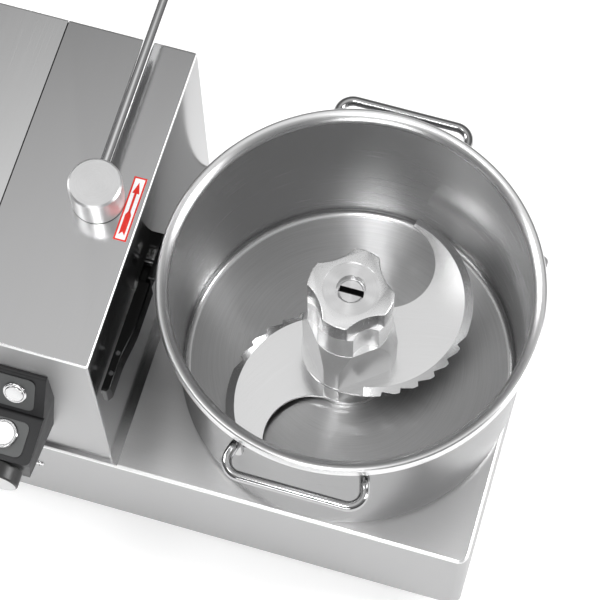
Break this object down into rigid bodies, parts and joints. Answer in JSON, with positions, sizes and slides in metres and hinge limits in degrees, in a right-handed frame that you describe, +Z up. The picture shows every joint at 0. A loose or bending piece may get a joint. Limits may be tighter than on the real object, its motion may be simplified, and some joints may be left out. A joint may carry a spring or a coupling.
{
  "type": "meat bowl cutter",
  "caption": "Table-top meat bowl cutter with two serrated sickle blades in a round steel bowl, a motor housing, a lid arm, a side lever and a small control console.",
  "frame": {"origin": "at table level under the middle of the whole machine", "axes": "+X from the motor housing to the bowl, +Y to the rear, +Z up"},
  "size_m": [0.5034, 0.403, 0.3956],
  "materials": {
    "brushed_steel": "brushed",
    "polished_steel": "polished",
    "blade_steel": "ground",
    "machined_steel": "satin",
    "zinc_steel": "plated",
    "cast_aluminium": "cast",
    "bearing_steel": "ground",
    "bronze": "machined",
    "rubber": "matt",
    "belt_rubber": "matt",
    "iron": "painted",
    "nylon": "plain",
    "console_plastic": "fine texture",
    "plate_grey": "satin",
    "lever_plastic": "gloss",
    "knob_grey": "satin",
    "black_mark": "plain",
    "label_print": "printed",
    "lamp_white": "translucent"
  },
  "bodies": {
    "machine": {"base_shell": "brushed_steel", "base_plate": "brushed_steel", "feet": "rubber", "foot_bolts": "zinc_steel", "base_screws": "zinc_steel", "housing_shell": "polished_steel", "side_cover": "polished_steel", "seam_strap": "brushed_steel", "cover_screws": "zinc_steel", "bearing_housing": "cast_aluminium", "bearing_outer_rings": "bearing_steel", "spindle_bush": "bronze", "neck_screws": "zinc_steel", "bayonet_ring": "machined_steel", "drive_belt": "belt_rubber", "motor_casing": "cast_aluminium", "motor_bolts": "zinc_steel", "motor_bearings": "bearing_steel", "motor_stator": "iron", "drive_inverter": "cast_aluminium", "arm_pivot_pin": "machined_steel", "arm_washer": "nylon", "arrow_label": "label_print", "lever_bracket": "lever_plastic", "lever_pins": "machined_steel", "console_body": "console_plastic", "console_upper_plate": "plate_grey", "console_lower_plate": "plate_grey", "stop_bezel": "machined_steel", "start_bezel": "machined_steel", "speed_potentiometer": "console_plastic", "cable_gland": "console_plastic"},
    "cutting_head": {"spindle": "machined_steel", "drive_cross_pin": "bearing_steel", "bearing_inner_rings": "bearing_steel", "spindle_pulley": "cast_aluminium", "blade_carrier": "machined_steel", "upper_blade": "blade_steel", "lower_blade": "blade_steel", "spacer_block": "machined_steel", "upper_block": "machined_steel", "hub_sleeve": "machined_steel", "lobed_knob": "machined_steel"},
    "motor_armature": {"motor_rotor": "iron", "motor_shaft": "machined_steel", "motor_pulley": "cast_aluminium", "motor_fan": "nylon"},
    "bowl_vessel": {"bowl": "polished_steel", "front_handle": "polished_steel", "rear_handle": "polished_steel"},
    "speed_control": {"speed_shaft": "machined_steel", "speed_knob": "knob_grey", "speed_pointer": "black_mark"},
    "stop_push": {"stop_button": "machined_steel"},
    "start_push": {"start_button": "lamp_white"},
    "lid_arm": {"arm_post": "machined_steel", "arm_rod": "machined_steel", "arm_grub_screw": "zinc_steel"},
    "lever": {"side_lever": "lever_plastic", "lever_screws": "zinc_steel"}
  },
  "joints": [
    {"name": "cutter_spin", "type": "hinge", "parent": "machine", "child": "cutting_head", "pos_m": [0.10175, 0.0075, 0.2], "axis": [0, 0, 1], "continuous": true},
    {"name": "motor_spin", "type": "hinge", "parent": "machine", "child": "motor_armature", "pos_m": [-0.13425, 0.0075, 0.2], "axis": [0, 0, 1], "continuous": true},
    {"name": "bowl_turn", "type": "hinge", "parent": "machine", "child": "bowl_vessel", "pos_m": [0.10175, 0.0075, 0.148], "axis": [0, 0, 1], "range_deg": [-30, 0]},
    {"name": "speed_turn", "type": "hinge", "parent": "machine", "child": "speed_control", "pos_m": [-0.12325, -0.19, 0.2582], "axis": [0, -1, 0], "range_deg": [-135, 135]},
    {"name": "stop_press", "type": "slide", "parent": "machine", "child": "stop_push", "axis": [0, 0.8729, -0.4878], "range_m": [0, 0.002], "stiffness_N_per_m": 400, "springref_m": -0.002},
    {"name": "start_press", "type": "slide", "parent": "machine", "child": "start_push", "axis": [0, 0.1531, -0.9882], "range_m": [0, 0.002], "stiffness_N_per_m": 400, "springref_m": -0.002},
    {"name": "lid_arm_swing", "type": "hinge", "parent": "machine", "child": "lid_arm", "pos_m": [-0.09625, 0.0035, 0.3655], "axis": [0, 0, 1], "range_deg": [-90, 0]},
    {"name": "lever_swing", "type": "hinge", "parent": "machine", "child": "lever", "pos_m": [-0.06125, -0.021, 0.2962], "axis": [-1, 0, 0], "range_deg": [0, 80]}
  ],
  "couplings": [
    {"joint": "motor_spin", "follows": "cutter_spin", "ratio": 1.4375}
  ]
}
